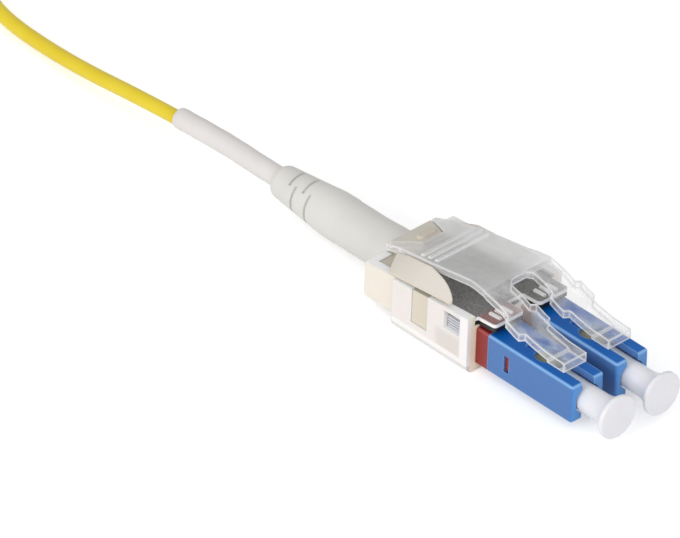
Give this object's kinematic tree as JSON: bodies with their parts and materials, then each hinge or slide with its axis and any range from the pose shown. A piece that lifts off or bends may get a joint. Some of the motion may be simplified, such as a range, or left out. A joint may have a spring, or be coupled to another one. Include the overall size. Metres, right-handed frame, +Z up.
{
  "type": "lc fibre connector",
  "caption": "Duplex LC fibre connector in one housing with a sprung clear latch cover, dust caps, slit boot, marker sleeve and a round cable folded into a tied hank.",
  "frame": {"origin": "middle of the flat bottom of the housing, on the surface that it rests on", "axes": "+X is the mating direction, along the plugs; +Y runs from the near plug to the far one; +Z is up, to the latch side"},
  "size_m": [0.1435, 0.0185, 0.0097],
  "materials": {
    "milky_shell": "translucent milky moulding",
    "frosted_lid": "finely frosted clear moulding",
    "clear_cover": "clear polycarbonate, lightly frosted underneath",
    "dark_insert": "dark moulding",
    "cream_holder": "cream moulding",
    "boot_rubber": "soft off-white moulding",
    "marker_sleeve": "off-white heat-shrunk sleeve",
    "cable_jacket": "smooth yellow jacket",
    "tie": "dark woven strap",
    "crimp_metal": "plated metal",
    "blue_plug": "satin blue moulding",
    "red_rear_body": "satin red moulding",
    "spring_steel": "bright wire",
    "fibre_buffer": "buffered fibre",
    "ceramic": "polished zirconia",
    "flange_metal": "turned metal",
    "dust_cap": "waxy white moulding"
  },
  "bodies": {
    "root": {"lower_shell": "milky_shell", "upper_shell": "frosted_lid", "inner_frame": "dark_insert", "rear_holder": "cream_holder", "plug_body_near": "blue_plug", "plug_body_far": "blue_plug", "rear_body_near": "red_rear_body", "rear_body_far": "red_rear_body", "spring_near": "spring_steel", "spring_far": "spring_steel", "fibre_near": "fibre_buffer", "fibre_far": "fibre_buffer", "crimp_sleeve": "crimp_metal", "boot": "boot_rubber", "marker_sleeve": "marker_sleeve", "cable": "cable_jacket", "cable_hank": "cable_jacket", "hank_tie": "tie"},
    "latch": {"latch_cover": "clear_cover"},
    "ferrule_assembly_near": {"ferrule_near": "ceramic", "flange_near": "flange_metal"},
    "ferrule_assembly_far": {"ferrule_far": "ceramic", "flange_far": "flange_metal"},
    "cap_near": {"dust_cap_near": "dust_cap"},
    "cap_far": {"dust_cap_far": "dust_cap"}
  },
  "joints": [
    {"name": "latch_press", "type": "hinge", "parent": "root", "child": "latch", "pos_m": [-0.00695, 0, 0.0052], "axis": [0, 1, 0], "range_deg": [0, 1], "stiffness_Nm_per_rad": 3},
    {"name": "ferrule_float_near", "type": "slide", "parent": "root", "child": "ferrule_assembly_near", "axis": [-1, 0, 0], "range_m": [0, 0.001], "stiffness_N_per_m": 1000, "deforming": ["spring_near"]},
    {"name": "ferrule_float_far", "type": "slide", "parent": "root", "child": "ferrule_assembly_far", "axis": [-1, 0, 0], "range_m": [0, 0.001], "stiffness_N_per_m": 1000, "deforming": ["spring_far"]},
    {"name": "cap_pull_near", "type": "slide", "parent": "root", "child": "cap_near", "axis": [1, 0, 0], "range_m": [0, 0.012]},
    {"name": "cap_pull_far", "type": "slide", "parent": "root", "child": "cap_far", "axis": [1, 0, 0], "range_m": [0, 0.012]}
  ]
}
